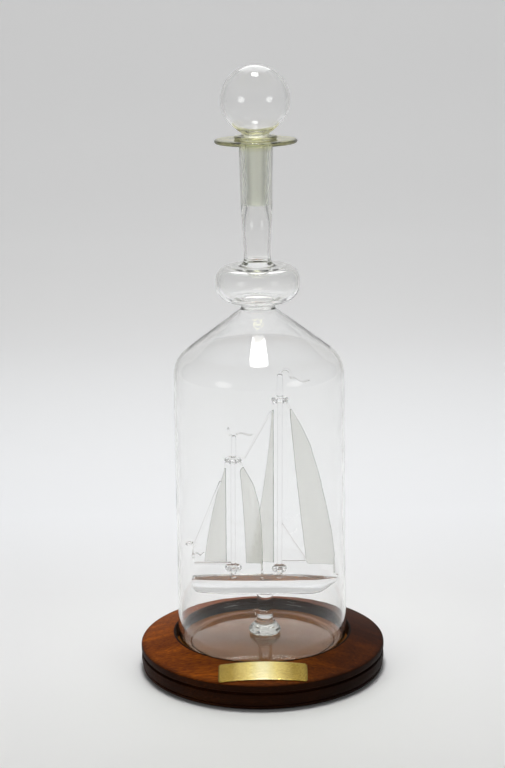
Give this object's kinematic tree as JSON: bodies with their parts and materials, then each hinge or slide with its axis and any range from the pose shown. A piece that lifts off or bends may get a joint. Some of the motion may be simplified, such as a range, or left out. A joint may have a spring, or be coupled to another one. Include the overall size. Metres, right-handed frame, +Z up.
{
  "type": "ship in a bottle",
  "caption": "Two-masted glass yacht with frosted glass sails inside a blown decanter with a hollow ball stopper, standing in a turned wooden plinth with a blank brass plate",
  "frame": {"origin": "centre of the plinth's underside, on the surface the object stands on", "axes": "+Z up the bottle's axis, +X towards the ship's bow, -Y the side with the nameplate"},
  "size_m": [0.15, 0.15, 0.368],
  "materials": {
    "stained_wood": "mahogany stain under satin lacquer",
    "felt": "dark felt",
    "brass_sheet": "brushed and lacquered",
    "clear_glass": "fire-polished clear glass",
    "frosted_glass": "ground or etched matt glass"
  },
  "bodies": {
    "stand": {"plinth": "stained_wood", "plinth_felt": "felt", "nameplate": "brass_sheet"},
    "bottle_and_ship": {"bottle_body": "clear_glass", "bottle_knop": "clear_glass", "bottle_neck": "clear_glass", "pedestal_foot": "clear_glass", "pedestal_stem": "clear_glass", "yacht_hull": "clear_glass", "bow_bead": "clear_glass", "deck_post": "clear_glass", "main_mast": "clear_glass", "main_topmast": "clear_glass", "main_foot_bead": "clear_glass", "main_top_bead": "clear_glass", "mizzen_mast": "clear_glass", "mizzen_topmast": "clear_glass", "mizzen_foot_bead": "clear_glass", "mizzen_top_bead": "clear_glass", "sail_head_links": "clear_glass", "triatic_stay": "clear_glass", "backstay": "clear_glass", "mizzen_boom": "clear_glass", "genoa_sheet": "clear_glass", "genoa_foot_rod": "clear_glass", "main_crook": "clear_glass", "main_pennant": "clear_glass", "mizzen_hook": "clear_glass", "mizzen_pennant": "clear_glass", "ensign_staff": "clear_glass", "ensign": "clear_glass", "genoa": "frosted_glass", "mainsail": "frosted_glass", "mizzen_staysail": "frosted_glass", "mizzen_sail": "frosted_glass"},
    "stopper": {"stopper_ball": "clear_glass", "stopper_plug": "frosted_glass"}
  },
  "joints": [
    {"name": "bottle_lift", "type": "slide", "parent": "stand", "child": "bottle_and_ship", "axis": [0, 0, 1], "range_m": [0, 0.05]},
    {"name": "stopper_pull", "type": "slide", "parent": "bottle_and_ship", "child": "stopper", "axis": [0, 0, 1], "range_m": [0, 0.05]}
  ]
}
